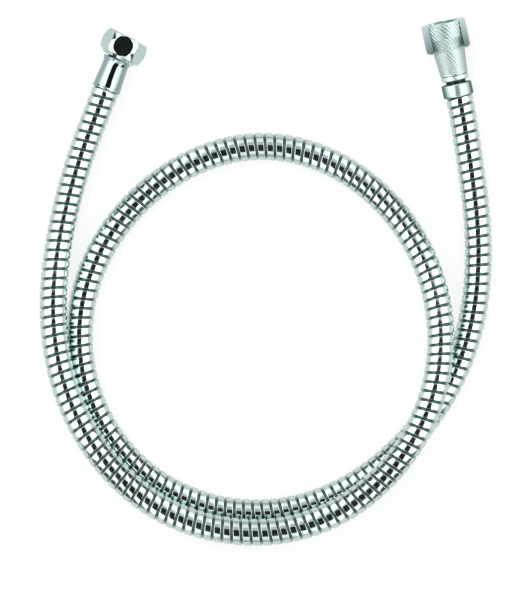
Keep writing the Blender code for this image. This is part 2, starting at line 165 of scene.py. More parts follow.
HEX_HOSE_DEPTH = 16.4 * MM       # how far the hose reaches into each ferrule
CONE_HOSE_DEPTH = 5.8 * MM
first = np.array(hex_tail @ Vector((0, 0, HEX_HOSE_DEPTH)))
last = np.array(cone_end @ Vector((0, 0, CONE_HOSE_DEPTH)))
hose_line = np.concatenate([[first], free_line, [last]])
travelled = np.concatenate([[0.0], np.cumsum(np.linalg.norm(np.diff(hose_line, axis=0), axis=1))])
hose_length = travelled[-1]
print(f"hose length {hose_length:.4f} m, free {hose_length - HEX_HOSE_DEPTH - CONE_HOSE_DEPTH:.4f} m")

# %% [markdown]
# ## The ribbed hose
#
# The real hose is a PVC tube with a band of silver foil wound round it as a right-hand helix. Each
# turn of the band swells a little, and a dark narrow groove lies between turns. A displaced tube
# would cut across the grooves with its rings, so the mesh is wound like the foil: its rows follow
# the helix, each turn ends where the next begins, and twelve points across a turn draw the rib.

# %% Rib section
HOSE_RADIUS = 7.5 * MM
CRIMPED_RADIUS = 6.6 * MM
RIB_PITCH = 5.22 * MM
AROUND = 32
RIB_HALF = [                     # share of the pitch, radius in mm, how much painted groove shade it gets
    (0.0, 6.80, 1.0), (0.08, 6.90, 1.0), (0.125, 7.22, 0.95), (0.155, 7.43, 0.6), (0.18, 7.487, 0.1),
    (0.22, 7.498, 0.0), (0.50, 7.50, 0.0),
]
RIB_SECTION = RIB_HALF + [(1 - share, height, groove_shaded) for share, height, groove_shaded in RIB_HALF[-2:0:-1]]
HEX_LIP_STATION = HEX_HOSE_DEPTH
CONE_LIP_STATION = hose_length - CONE_HOSE_DEPTH
LIP_CLEARANCE = 0.4 * MM
LIP_SLOPE = 0.7 * MM
WOBBLE = 0.018 * MM              # no two ribs are quite alike
WOBBLE_WAVES = (310.0, 1270.0)
NEAR = 0.4 * MM                  # the hose's direction is measured over twice this length

# %% Wind the hose
turns = int(hose_length / RIB_PITCH) + 3
rows = turns * AROUND
across = len(RIB_SECTION)
section = np.array(RIB_SECTION)
row = np.repeat(np.arange(rows), across)
column = np.tile(np.arange(across), rows)
station = RIB_PITCH * (row / AROUND + section[column, 0] - 1.0)
station = np.clip(station, 0.0, hose_length)
angle = row * (2 * math.pi / AROUND)
wobble = WOBBLE * np.sin(station * WOBBLE_WAVES[0]) * np.sin(station * WOBBLE_WAVES[1] + 1.0)
radius = section[column, 1] * MM + wobble
# painted shade: how dark the foil is painted at each point, darkest in the grooves
painted_groove_shade = section[column, 2]

inside = np.clip((HEX_LIP_STATION + LIP_CLEARANCE - station) / LIP_SLOPE, 0.0, 1.0)
inside = np.maximum(inside, np.clip((station - CONE_LIP_STATION + LIP_CLEARANCE) / LIP_SLOPE, 0.0, 1.0))
radius = radius * (1 - inside) + np.minimum(radius, CRIMPED_RADIUS) * inside
# painted shade: the hose inside the ferrules' lips is painted fully dark
painted_groove_shade = np.maximum(painted_groove_shade, inside)

middle = np.stack([np.interp(station, travelled, hose_line[:, k]) for k in range(3)], axis=1)
ahead = np.clip(station + NEAR, 0.0, hose_length)
behind = np.clip(station - NEAR, 0.0, hose_length)
tangent = np.stack([np.interp(ahead, travelled, hose_line[:, k])
                    - np.interp(behind, travelled, hose_line[:, k]) for k in range(3)], axis=1)
tangent /= np.linalg.norm(tangent, axis=1)[:, None]
level = np.cross(tangent, (0.0, 0.0, 1.0))
level /= np.linalg.norm(level, axis=1)[:, None]
upward = np.cross(level, tangent)
places = middle + radius[:, None] * (np.cos(angle)[:, None] * upward + np.sin(angle)[:, None] * level)

corner = row * across + column
next_column = np.where(column < across - 1, corner + 1, corner + AROUND * across - across + 1)
kept = row < rows - AROUND - 1
quads = np.stack([corner, next_column, next_column + across, corner + across], axis=1)[kept]
print("rows", rows, "quads", len(quads))

# %% Make the hose mesh
hose_mesh = bpy.data.meshes.new("ribbed_hose")
hose_mesh.from_pydata(places.tolist(), [], quads.tolist())
hose_mesh.attributes.new("painted_groove_shade", 'FLOAT', 'POINT').data.foreach_set("value", painted_groove_shade.astype(np.float32))
ribbed_hose = bpy.data.objects.new("ribbed_hose", hose_mesh)
bpy.context.scene.collection.objects.link(ribbed_hose)

BORE_RADIUS = 4.95 * MM
BORE_DEPTH = 13.3 * MM
WELD = 0.002 * MM


def bore_end(bm, mouth, axis):
    """Turns the open end at a place into a bore: a rim, a wall and a blind bottom."""
    loop = [edge for edge in bm.edges if edge.is_boundary
            and (edge.verts[0].co - mouth).length < 2 * HOSE_RADIUS]
    rim = bmesh.ops.extrude_edge_only(bm, edges=loop)["geom"]
    ring = [item for item in rim if isinstance(item, bmesh.types.BMVert)]
    for vertex in ring:
        vertex.co = mouth + (vertex.co - mouth) * (BORE_RADIUS / CRIMPED_RADIUS)
    loop = [item for item in rim if isinstance(item, bmesh.types.BMEdge)
            and all(vertex in ring for vertex in item.verts)]
    wall = bmesh.ops.extrude_edge_only(bm, edges=loop)["geom"]
    bottom = [item for item in wall if isinstance(item, bmesh.types.BMVert)]
    bmesh.ops.translate(bm, verts=bottom, vec=-axis * BORE_DEPTH)
    bmesh.ops.holes_fill(bm, edges=[edge for edge in bm.edges if edge.is_boundary
                                    and edge.verts[0] in bottom])


bm = bmesh.new()
bm.from_mesh(hose_mesh)
bmesh.ops.remove_doubles(bm, verts=bm.verts, dist=WELD)
bmesh.ops.delete(bm, geom=[v for v in bm.verts if not v.link_faces], context='VERTS')
bore_end(bm, Vector(first), hex_tail.col[2].to_3d())
bore_end(bm, Vector(last), cone_end.col[2].to_3d())
bmesh.ops.recalc_face_normals(bm, faces=bm.faces)
open_edges = sum(1 for edge in bm.edges if edge.is_boundary)
bm.to_mesh(hose_mesh)
bm.free()
hose_mesh.shade_smooth()
print("hose triangles", sum(len(face.vertices) - 2 for face in hose_mesh.polygons), "open edges", open_edges)

# %% [markdown]
# ## Turning the fittings
#
# Nuts, sleeves, tails and washers are turned on a lathe. By hand in Blender, such a piece starts as a
# circle whose edge is extruded, moved and resized from one station of its outline to the next, and
# the last ring is bridged to the first. A small bevel on each sharp edge then catches the light.

# %% The lathe
def select_nothing():
    bpy.ops.object.select_all(action='DESELECT')


def start_edit():
    bpy.ops.object.mode_set(mode='EDIT')


def end_edit():
    bpy.ops.object.mode_set(mode='OBJECT')


def apply_all(piece):
    """Applies a piece's modifiers in order."""
    select_nothing()
    piece.select_set(True)
    bpy.context.view_layer.objects.active = piece
    for modifier in list(piece.modifiers):
        bpy.ops.object.modifier_apply(modifier=modifier.name)


def turn(name, outline, steps):
    """Turns an outline of (radius, height) about +Z, from one ring to the next."""
    select_nothing()
    start_radius, start_height = outline[0]
    bpy.ops.mesh.primitive_circle_add(vertices=steps, radius=start_radius, location=(0, 0, 0))
    piece = bpy.context.object
    piece.name = name
    piece.data.name = name
    start_edit()
    bpy.ops.mesh.select_all(action='SELECT')
    bpy.ops.transform.translate(value=(0, 0, start_height))
    for (r0, z0), (r1, z1) in zip(outline, outline[1:]):
        bpy.ops.mesh.extrude_edges_move(TRANSFORM_OT_translate={"value": (0, 0, z1 - z0)})
        bpy.ops.transform.resize(value=(r1 / r0, r1 / r0, 1), center_override=(0, 0, z1))
    bpy.ops.mesh.select_all(action='DESELECT')
    bpy.ops.mesh.select_mode(type='EDGE')
    bpy.ops.mesh.select_non_manifold()
    bpy.ops.mesh.bridge_edge_loops()
    bpy.ops.mesh.select_all(action='SELECT')
    bpy.ops.mesh.normals_make_consistent(inside=False)
    end_edit()
    return piece


def soften(piece, width, segments=2, degrees=35):
    """Rounds the sharp edges of a piece a little."""
    bevel = piece.modifiers.new("soft_edges", 'BEVEL')
    bevel.width = width
    bevel.segments = segments
    bevel.limit_method = 'ANGLE'
    bevel.angle_limit = math.radians(degrees)
    apply_all(piece)


def points_of(piece):
    """The places of a mesh's points, one row each."""
    spots = np.empty(len(piece.data.vertices) * 3)
    piece.data.vertices.foreach_get("co", spots)
    return spots.reshape(-1, 3)


def settle(piece, placed, degrees=40):
    """Puts a piece in its place, with the place in its mesh, and shades it."""
    piece.data.transform(placed)
    piece.matrix_world = Matrix()
    select_nothing()
    piece.select_set(True)
    bpy.context.view_layer.objects.active = piece
    bpy.ops.object.shade_smooth_by_angle(angle=math.radians(degrees))
    print(piece.name, "triangles", sum(len(face.vertices) - 2 for face in piece.data.polygons))


# %% [markdown]
# ## Sleeves, tails and washers
#
# A ferrule is drawn from thin sheet: a plain sleeve whose far end turns in behind the hose. The tail
# is turned from brass, with barbs that bite into the hose and a flange for the nut to pull on. The
# washer is stamped from rubber sheet. All sizes are those of the CAD.

# %% Sizes that the pieces share
GAP = 0.3 * MM
NECK_OD = 11.0 * MM
FERRULE_FLOOR = 1.2 * MM
LATHE_STEPS = 128
HAIR = 0.01 * MM                 # places no further apart than this are the same

# %% Ferrules
HEX_FERRULE_LENGTH = 17.9 * MM
CONE_FERRULE_LENGTH = 7.3 * MM
HEX_FERRULE_EDGE = 0.12 * MM
CONE_FERRULE_EDGE = 0.1 * MM
HEX_FERRULE_OUTSIDE = [          # radius and height from the lip, in mm: bead, waist and flare
    (7.75, 0.0), (8.02, 0.196), (8.1, 0.56), (8.06, 0.91), (7.78, 1.288), (7.72, 1.61), (7.80, 1.96),
    (7.45, 8.0), (7.12, 13.6), (7.12, 14.6), (7.25, 15.4), (7.45, 16.1), (7.68, 16.7), (7.9, 17.2),
    (8.05, 17.5), (8.1, 17.65), (8.05, 17.82), (7.9, 17.9),
]
CONE_FERRULE_OUTSIDE = [
    (7.6, 0.0), (8.0, 0.08), (8.28, 0.35), (8.4, 0.8), (8.4, 6.5), (8.28, 6.95), (8.0, 7.22), (7.6, 7.3),
]


def turn_ferrule(name, length, outside, edge, placed):
    bore = CRIMPED_RADIUS + GAP
    hole = NECK_OD / 2 + GAP
    floor_height = length - FERRULE_FLOOR
    inside = [(hole, length), (hole, floor_height), (bore, floor_height), (bore, 0.0)]
    ferrule = turn(name, inside + [(r * MM, z * MM) for r, z in outside], LATHE_STEPS)
    soften(ferrule, edge)
    settle(ferrule, placed)
    return ferrule


hex_sleeve = turn_ferrule("hex_sleeve", HEX_FERRULE_LENGTH, HEX_FERRULE_OUTSIDE, HEX_FERRULE_EDGE, hex_tail)
cone_sleeve = turn_ferrule("cone_sleeve", CONE_FERRULE_LENGTH, CONE_FERRULE_OUTSIDE, CONE_FERRULE_EDGE,
                           cone_end)

# %% Tails
SPIGOT_OD = 8.6 * MM
SPIGOT_DEPTH = 13.0 * MM
BARBS = 3
BARB_HEIGHT = 0.35 * MM
BARB_PITCH = 3.6 * MM
BARB_CREST = 0.75                # shares of the pitch
BARB_BACK = 0.8
WATERWAY = 6.6 * MM
FLANGE_OD = 17.6 * MM
FLANGE_THICKNESS = 1.4 * MM
TAIL_EDGE = 0.1 * MM
NECK_BAND = 0.2 * MM             # a point this near to the neck's radius is on the neck, which is painted dark as shade


def turn_tail(name, hose_depth, flange_back, placed):
    tip = hose_depth - SPIGOT_DEPTH
    outline = [(WATERWAY / 2, tip)]
    for barb in range(BARBS):
        foot = tip + barb * BARB_PITCH
        outline += [(SPIGOT_OD / 2, foot), (SPIGOT_OD / 2 + BARB_HEIGHT, foot + BARB_PITCH * BARB_CREST),
                    (SPIGOT_OD / 2, foot + BARB_PITCH * BARB_BACK)]
    outline += [(SPIGOT_OD / 2, hose_depth + GAP), (NECK_OD / 2, hose_depth + GAP),
                (NECK_OD / 2, flange_back), (FLANGE_OD / 2, flange_back),
                (FLANGE_OD / 2, flange_back + FLANGE_THICKNESS),
                (WATERWAY / 2, flange_back + FLANGE_THICKNESS)]
    tail = turn(name, outline, LATHE_STEPS)
    soften(tail, TAIL_EDGE, segments=1)
    spots = points_of(tail)
    reach = np.hypot(spots[:, 0], spots[:, 1])
    # painted shade: the neck, in the gap between nut and sleeve, is marked to be painted dark
    neck_shade = (np.abs(reach - NECK_OD / 2) < NECK_BAND) & (spots[:, 2] > hose_depth)
    tail.data.attributes.new("neck_shade", 'FLOAT', 'POINT').data.foreach_set("value", neck_shade.astype(np.float32))
    settle(tail, placed)
    return tail


HEX_CROSSING = 20.4 * MM         # where the nut's axis crosses the tail's, from the lip
HEX_SHOULDER = 1.8 * MM
lean = hex_tail.col[2].to_3d().angle(Vector(joints["hex_nut_spin"]["axis"]))
hex_flange = HEX_CROSSING + HEX_SHOULDER / 2 / math.cos(lean) + FLANGE_OD / 2 * math.tan(lean) + GAP
CONE_NUT_START = 9.1 * MM
CONE_LENGTH = 32.7 * MM
CONE_SEAT_DEPTH = 10.6 * MM
cone_flange = CONE_NUT_START + CONE_LENGTH - CONE_SEAT_DEPTH + GAP
hex_spigot = turn_tail("hex_spigot", HEX_HOSE_DEPTH, hex_flange, hex_tail)
cone_spigot = turn_tail("cone_spigot", CONE_HOSE_DEPTH, cone_flange, cone_end)

# %% Washers
WASHER_THICKNESS = 2.0 * MM
WASHER_RADIUS = 8.9 * MM
WASHER_HOLE_RADIUS = 4.5 * MM
WASHER_EDGE = 0.25 * MM


def turn_washer(name, seat, placed):
    bottom = seat + GAP
    top = bottom + WASHER_THICKNESS
    washer = turn(name, [(WASHER_HOLE_RADIUS, bottom), (WASHER_RADIUS, bottom), (WASHER_RADIUS, top),
                         (WASHER_HOLE_RADIUS, top)], LATHE_STEPS)
    soften(washer, WASHER_EDGE, segments=3)
    settle(washer, placed)
    return washer


hex_seal = turn_washer("hex_seal", hex_flange + FLANGE_THICKNESS, hex_tail)
cone_seal = turn_washer("cone_seal", cone_flange + FLANGE_THICKNESS, cone_end)

# %% [markdown]
# ## The thread in a nut's mouth
#
# A G1/2 thread has fourteen turns to the inch. Inside a nut it is a ridge that winds round the bore.
# The ridge is swept as a small trapezoid along a helix, and both ends fade into the wall.

# %% Thread
THREAD_PITCH = 25.4 / 14 * MM
THREAD_ROOT_RADIUS = 20.95 / 2 * MM
THREAD_CREST_RADIUS = 18.63 / 2 * MM
LOW_CREST_RADIUS = 10.0 * MM     # the hex nut's thread stays clear of the washer, on which the nut leans
THREAD_STEPS = 64
THREAD_FADE = 10                 # steps over which each end sinks into the wall
THREAD_BITE = 0.15 * MM          # how deep the ridge is set into the wall
THREAD_SUNK = 0.1 * MM           # how deep its crest lies in the wall at both ends
THREAD_FOOT = 0.43               # half the width of the ridge, as a share of the pitch
THREAD_TOP = 0.12


def make_thread(bottom, top, crest_radius):
    """A helical ridge on the wall of a bore, as a mesh along +Z."""
    wall = THREAD_ROOT_RADIUS + THREAD_BITE
    foot = THREAD_PITCH * THREAD_FOOT
    crest = THREAD_PITCH * THREAD_TOP
    rounds = (top - bottom - 2 * foot) / THREAD_PITCH
    count = int(rounds * THREAD_STEPS)
    bm = bmesh.new()
    rings = []
    for i in range(count + 1):
        turned = 2 * math.pi * i / THREAD_STEPS
        height = bottom + foot + THREAD_PITCH * i / THREAD_STEPS
        fade = min(1.0, i / THREAD_FADE, (count - i) / THREAD_FADE)
        reach = THREAD_ROOT_RADIUS + THREAD_SUNK
        reach += (crest_radius - reach) * fade
        ring = []
        for r, z in ((wall, -foot), (wall, foot), (reach, crest), (reach, -crest)):
            ring.append(bm.verts.new((r * math.cos(turned), r * math.sin(turned), height + z)))
        rings.append(ring)
    for a, b in zip(rings, rings[1:]):
        for k in range(4):
            bm.faces.new((a[k], a[(k + 1) % 4], b[(k + 1) % 4], b[k]))
    bm.faces.new(rings[0])
    bm.faces.new(rings[-1])
    bmesh.ops.recalc_face_normals(bm, faces=bm.faces)
    mesh = bpy.data.meshes.new("thread")
    bm.to_mesh(mesh)
    bm.free()
    thread = bpy.data.objects.new("thread", mesh)
    bpy.context.scene.collection.objects.link(thread)
    return thread


def join_to(piece, extra):
    select_nothing()
    extra.select_set(True)
    piece.select_set(True)
    bpy.context.view_layer.objects.active = piece
    bpy.ops.object.join()


# %% [markdown]
# ## The hex nut
#
# This nut is a crowned barrel with six flats milled on it. A plane that cuts a barrel leaves a nearly
# round face, and that is why the photograph shows a dark disc on top: the level flat mirrors the dark
# space above the hose. So the barrel is turned first, and six bisecting planes then cut its flats.
# A short skirt at the back reaches over the flared end of the ferrule.

# %% Sizes of the hex nut
NUT_STEPS = 144
THREAD_TO_MOUTH = 0.4 * MM
HEX_LENGTH = 11.8 * MM
HEX_BARREL_OD = 25.6 * MM
HEX_BARREL_END_OD = 22.9 * MM
HEX_BARREL_RINGS = 24
HEX_FLATS = 23.0 * MM
HEX_FLAT_COUNT = 6
HEX_HOLE_RADIUS = 6.5 * MM
HEX_MOUTH_CHAMFER = 0.5 * MM
HEX_SKIRT_RADIUS = 8.72 * MM     # of its bore
HEX_SKIRT_LENGTH = 1.5 * MM
HEX_SKIRT_WALL = 0.5 * MM        # at its tip
HEX_SKIRT_ROOT = 1.2 * MM        # at the nut's back
HEX_THREAD_START = 1.0 * MM      # above the shoulder
HEX_EDGE = 0.14 * MM
FLAT_FACE = 20 * MM ** 2         # only the six flats are single faces as large as this

# %% Hex nut
back = -HEX_SHOULDER / 2
mouth = back + HEX_LENGTH
skirt_tip = back - HEX_SKIRT_LENGTH
half = HEX_LENGTH / 2
bulge = (HEX_BARREL_OD - HEX_BARREL_END_OD) / 2
crown_radius = (half ** 2 + bulge ** 2) / (2 * bulge)
barrel = []
for step in range(HEX_BARREL_RINGS + 1):
    height = half * (-1 + 2 * step / HEX_BARREL_RINGS)
    reach = HEX_BARREL_OD / 2 - crown_radius + math.sqrt(crown_radius ** 2 - height ** 2)
    barrel.append((reach, back + half + height))
hex_union_nut = turn("hex_union_nut", barrel + [
    (THREAD_ROOT_RADIUS + HEX_MOUTH_CHAMFER, mouth), (THREAD_ROOT_RADIUS, mouth - HEX_MOUTH_CHAMFER),
    (THREAD_ROOT_RADIUS, -back), (HEX_HOLE_RADIUS, -back), (HEX_HOLE_RADIUS, back),
    (HEX_SKIRT_RADIUS, back), (HEX_SKIRT_RADIUS, skirt_tip), (HEX_SKIRT_RADIUS + HEX_SKIRT_WALL, skirt_tip),
    (HEX_SKIRT_RADIUS + HEX_SKIRT_ROOT, back),
], NUT_STEPS)
start_edit()
for flat in range(HEX_FLAT_COUNT):
    lay = math.radians(360 / HEX_FLAT_COUNT * flat + 90)
    normal = (math.cos(lay), math.sin(lay), 0.0)
    bpy.ops.mesh.select_all(action='SELECT')
    bpy.ops.mesh.bisect(plane_co=[HEX_FLATS / 2 * value for value in normal], plane_no=normal,
                        use_fill=True, clear_outer=True)
end_edit()
soften(hex_union_nut, HEX_EDGE, degrees=12)
join_to(hex_union_nut, make_thread(-back + HEX_THREAD_START, mouth - THREAD_TO_MOUTH, LOW_CREST_RADIUS))
hex_nut_place = end_frame(Vector(joints["hex_nut_spin"]["pos_m"]),
                          math.atan2(*joints["hex_nut_spin"]["axis"][:2]), 0.0)
settle(hex_union_nut, hex_nut_place, degrees=20)
for face in hex_union_nut.data.polygons:
    if face.area > FLAT_FACE:
        face.use_smooth = False
print("flats", sum(not face.use_smooth for face in hex_union_nut.data.polygons))

# %% [markdown]
# ## The bell nut
#
# The long nut screws onto the hand shower and is tightened by hand. Its front and back are knurled:
# two sets of fine ridges cross the bell. Two smooth wings stand on its sides, and a groove parts the
# knurl from a smooth collar. The bell is turned with many close rings, the ridges are raised in code,
# because they follow a formula, and the wings are joined on and the socket cut out with Boolean
# modifiers. Each point is then marked with the tint and the gloss of its zone, and with painted shade
# on the wings, in the knurl's valleys and in the groove.

# %% Sizes of the bell nut
CONE_MOUTH_OD = 24.7 * MM
CONE_RIM_OD = 24.3 * MM
CONE_BODY_OD = 17.6 * MM
CONE_NECK_OD = 15.4 * MM
CONE_COLLAR_OD = 15.0 * MM
CONE_COLLAR = 2.6 * MM
CONE_BELL_FOOT = 4.5 * MM        # the knurled neck is straight up to here
CONE_GROOVE = 0.5 * MM
CONE_CHAMFER = 0.5 * MM
CONE_CORE_RADIUS = 2.0 * MM      # the socket's cut takes this core away
CONE_WING_LENGTH = 16.0 * MM
BELL_FLARE = [(0.22, 0.32), (0.44, 0.70), (0.68, 0.86)]  # share of the wing's length, share of the flare
KNURL_ROWS = 96
KNURL_STEPS = 288
KNURL_DEPTH = 0.18 * MM
KNURL_STARTS = 36
KNURL_FADE = 0.6 * MM
KNURL_END = 0.3 * MM             # the knurl stops this far below the rim
KNURL_LEAD = 2.8 * MM            # height over which a ridge moves on by one start
KNURL_MAIN = 0.84                # the strength of the one set of ridges and of the other
KNURL_CROSS = 0.16
KNURL_SKIN = 0.98                # points further in than this share of the neck's radius are inside

# %% Bell
wing_end = CONE_LENGTH - CONE_WING_LENGTH
bell_reach = CONE_RIM_OD - CONE_BODY_OD
bell_heights = [CONE_COLLAR + CONE_GROOVE, CONE_BELL_FOOT, (CONE_BELL_FOOT + wing_end) / 2, wing_end]
bell_radii = [CONE_NECK_OD / 2, CONE_NECK_OD / 2, (CONE_NECK_OD + CONE_BODY_OD) / 4, CONE_BODY_OD / 2]
for up_the_wing, flared in BELL_FLARE:
    bell_heights.append(wing_end + CONE_WING_LENGTH * up_the_wing)
    bell_radii.append((CONE_BODY_OD + bell_reach * flared) / 2)
bell_heights.append(CONE_LENGTH - CONE_CHAMFER)
bell_radii.append(CONE_RIM_OD / 2)
knurl_heights = np.linspace(bell_heights[0], bell_heights[-1], KNURL_ROWS)
knurl_radii = np.interp(knurl_heights, bell_heights, bell_radii)
collar = CONE_COLLAR_OD / 2
bell_nut = turn("bell_nut", [
    (CONE_CORE_RADIUS, 0.0), (collar - CONE_CHAMFER, 0.0), (collar, CONE_CHAMFER), (collar, CONE_COLLAR),
    (collar - CONE_GROOVE, CONE_COLLAR), (collar - CONE_GROOVE, CONE_COLLAR + CONE_GROOVE),
] + list(zip(knurl_radii.tolist(), knurl_heights.tolist())) + [
    (CONE_RIM_OD / 2 - CONE_CHAMFER, CONE_LENGTH), (CONE_CORE_RADIUS, CONE_LENGTH),
], KNURL_STEPS)
print("bell points", len(bell_nut.data.vertices))

# %% Knurl
spots = points_of(bell_nut)
reach = np.hypot(spots[:, 0], spots[:, 1])
around = np.arctan2(spots[:, 1], spots[:, 0]) * KNURL_STARTS
upward_phase = spots[:, 2] * 2 * math.pi / KNURL_LEAD
pattern = KNURL_MAIN * np.cos(around + upward_phase) + KNURL_CROSS * np.cos(around - upward_phase)
low = bell_heights[0]
high = bell_heights[-1] - KNURL_END
fade = np.clip((spots[:, 2] - low) / KNURL_FADE, 0, 1) * np.clip((high - spots[:, 2]) / KNURL_FADE, 0, 1)
fade *= reach > bell_radii[0] * KNURL_SKIN
lower = KNURL_DEPTH * (0.5 - 0.5 * pattern) * fade
spots[:, :2] *= (1 - lower / np.maximum(reach, MM))[:, None]
bell_nut.data.vertices.foreach_set("co", spots.ravel())
bell_nut.data.update()
print(f"knurl up to {lower.max() / MM:.2f} mm deep")

# %% Wings
WING_SETBACK = 0.25 * MM         # the wings end this far below the rim
WING_ROUND = 1.6 * MM            # at the foot
WING_EDGE = 0.35 * MM


def cut_with(piece, tool, operation):
    """Applies a Boolean and throws the tool away."""
    modifier = piece.modifiers.new("cut", 'BOOLEAN')
    modifier.operation = operation
    modifier.solver = 'EXACT'
    modifier.object = tool
    apply_all(piece)
    bpy.data.objects.remove(tool, do_unlink=True)


def make_wing(side):
    """The part of a round bar outside the knurled front, with rounded edges."""
    select_nothing()
    length = CONE_WING_LENGTH - WING_SETBACK
    bpy.ops.mesh.primitive_cylinder_add(vertices=NUT_STEPS, radius=CONE_MOUTH_OD / 2, depth=length,
                                        location=(0, 0, CONE_LENGTH - WING_SETBACK - length / 2))
    wing = bpy.context.object
    start_edit()
    bpy.ops.mesh.select_all(action='SELECT')
    bpy.ops.mesh.bisect(plane_co=(side * CONE_BODY_OD / 2, 0, 0), plane_no=(-side, 0, 0),
                        use_fill=True, clear_outer=True)
    bpy.ops.mesh.select_all(action='DESELECT')
    bpy.ops.mesh.select_mode(type='EDGE')
    bm = bmesh.from_edit_mesh(wing.data)
    bottom = min(vertex.co.z for vertex in bm.verts)
    for edge in bm.edges:
        if all(abs(vertex.co.z - bottom) < HAIR for vertex in edge.verts):
            edge.select = True
    bmesh.update_edit_mesh(wing.data)
    bpy.ops.mesh.bevel(offset=WING_ROUND, segments=6, profile=0.5)
    end_edit()
    soften(wing, WING_EDGE, segments=3, degrees=50)
    return wing


for side in (-1, 1):
    cut_with(bell_nut, make_wing(side), 'UNION')
print("points with wings", len(bell_nut.data.vertices))

# %% Socket
CONE_THREAD_DEPTH = 7.0 * MM
CONE_THREAD_START = 0.2 * MM     # above the thread's end of the socket
CONE_HOLE_RADIUS = 6.1 * MM
CONE_SEAT_RADIUS = 9.4 * MM
CUTTER_CORE = 0.05 * MM
CUT_PAST = 0.5 * MM
shoulder = CONE_LENGTH - CONE_SEAT_DEPTH
thread_end = CONE_LENGTH - CONE_THREAD_DEPTH
socket = turn("socket", [
    (CUTTER_CORE, -CUT_PAST), (CONE_HOLE_RADIUS, -CUT_PAST), (CONE_HOLE_RADIUS, shoulder),
    (CONE_SEAT_RADIUS, shoulder), (CONE_SEAT_RADIUS, thread_end), (THREAD_ROOT_RADIUS, thread_end),
    (THREAD_ROOT_RADIUS, CONE_LENGTH - CUT_PAST), (THREAD_ROOT_RADIUS + 2 * CUT_PAST, CONE_LENGTH + CUT_PAST),
    (CUTTER_CORE, CONE_LENGTH + CUT_PAST),
], NUT_STEPS)
cut_with(bell_nut, socket, 'DIFFERENCE')
join_to(bell_nut, make_thread(thread_end + CONE_THREAD_START, CONE_LENGTH - THREAD_TO_MOUTH,
                              THREAD_CREST_RADIUS))
print("points with socket and thread", len(bell_nut.data.vertices))

# %% Mark the zones of the bell nut, with painted shade
SMOOTH_TINT = (0.66, 0.80, 0.79)
# painted shade: the smooth wings are a darker copy of the collar's chrome
WING_SHADE_TINT = (0.18, 0.28, 0.28)
KNURL_TINT = (0.57, 0.68, 0.67)
# painted shade in the knurl's valleys
VALLEY_SHADE_TINT = (0.33, 0.41, 0.41)
# painted shade on the floor of the groove before the collar
NUT_GROOVE_SHADE = (0.04, 0.07, 0.07)
POLISHED, SATIN = 0.0, 1.0
WING_STEP = 0.04 * MM            # what stands this far out of the bell is on a wing
KNURL_FLOOR = KNURL_DEPTH * 1.1  # what lies deeper than this is not on the knurl
VALLEY_SHADE_CURVE = 1.5
GROOVE_BAND = 0.05 * MM          # a point this near to the groove's radius is on its floor
spots = points_of(bell_nut)
reach = np.hypot(spots[:, 0], spots[:, 1])
sunk = np.interp(spots[:, 2], knurl_heights, knurl_radii) - reach
on_bell = (spots[:, 2] > low - HAIR) & (spots[:, 2] < bell_heights[-1]) & (sunk < KNURL_FLOOR)
on_wing = on_bell & (sunk < -WING_STEP)
on_knurl = on_bell & ~on_wing
on_collar = spots[:, 2] < low - CONE_GROOVE / 2
in_groove = np.abs(reach - (collar - CONE_GROOVE)) < GROOVE_BAND
in_groove &= np.abs(spots[:, 2] - CONE_COLLAR - CONE_GROOVE / 2) < CONE_GROOVE
# painted shade: the deeper a point lies in the knurl, the darker it is painted
valley_shade = (np.clip(sunk / KNURL_DEPTH, 0, 1) ** VALLEY_SHADE_CURVE)[:, None]
knurl_tint_and_shade = np.array(KNURL_TINT) * (1 - valley_shade) + np.array(VALLEY_SHADE_TINT) * valley_shade
finish_and_painted_shade = np.full((len(spots), 4), POLISHED)
finish_and_painted_shade[:, :3] = SMOOTH_TINT
finish_and_painted_shade[on_wing, :3] = WING_SHADE_TINT
finish_and_painted_shade[on_knurl, :3] = knurl_tint_and_shade[on_knurl]
finish_and_painted_shade[on_knurl | on_collar, 3] = SATIN
# painted shade: the groove's floor is painted near black
finish_and_painted_shade[in_groove, :3] = NUT_GROOVE_SHADE
marks = bell_nut.data.attributes.new("finish_and_painted_shade", 'FLOAT_COLOR', 'POINT')
marks.data.foreach_set("color", finish_and_painted_shade.astype(np.float32).ravel())
print("knurl points", int(on_knurl.sum()), "wing points", int(on_wing.sum()))
settle(bell_nut, cone_end @ Matrix.Translation((0, 0, CONE_NUT_START)), degrees=35)

# %% [markdown]
# ## Finishes
#
# Chrome shows its surroundings, so most of its look comes from the light. The rest is small: a film
# of polishing haze makes its roughness uneven. The plain band behind the bell nut is satin, and so is
# the knurl; the band has painted shade on its sides. The sleeve behind the hex nut is a darker copy
# of the chrome, which is painted shade. The hose is silver foil under clear PVC, so it is a metal
# with a clear coat, a faint unevenness, and painted shade in its grooves.

# %% Helpers for materials
def new_material(name):
    material = bpy.data.materials.new(name)
    material.use_nodes = True
    return material, material.node_tree.nodes, material.node_tree.links


def add_math(nodes, links, operation, *values):
    """A Math node. Each value is a number or another node's output."""
    node = nodes.new('ShaderNodeMath')
    node.operation = operation
    for entry, value in zip(node.inputs, values):
        if isinstance(value, float):
            entry.default_value = value
        else:
            links.new(value, entry)
    return node.outputs[0]


def add_ramp(nodes, links, value, low, high, start, end, kind='LINEAR'):
    """A step of a value, from start at low to end at high."""
    node = nodes.new('ShaderNodeMapRange')
    node.interpolation_type = kind
    for name, number in (("From Min", low), ("From Max", high), ("To Min", start), ("To Max", end)):
        node.inputs[name].default_value = number
    links.new(value, node.inputs["Value"])
    return node.outputs["Result"]


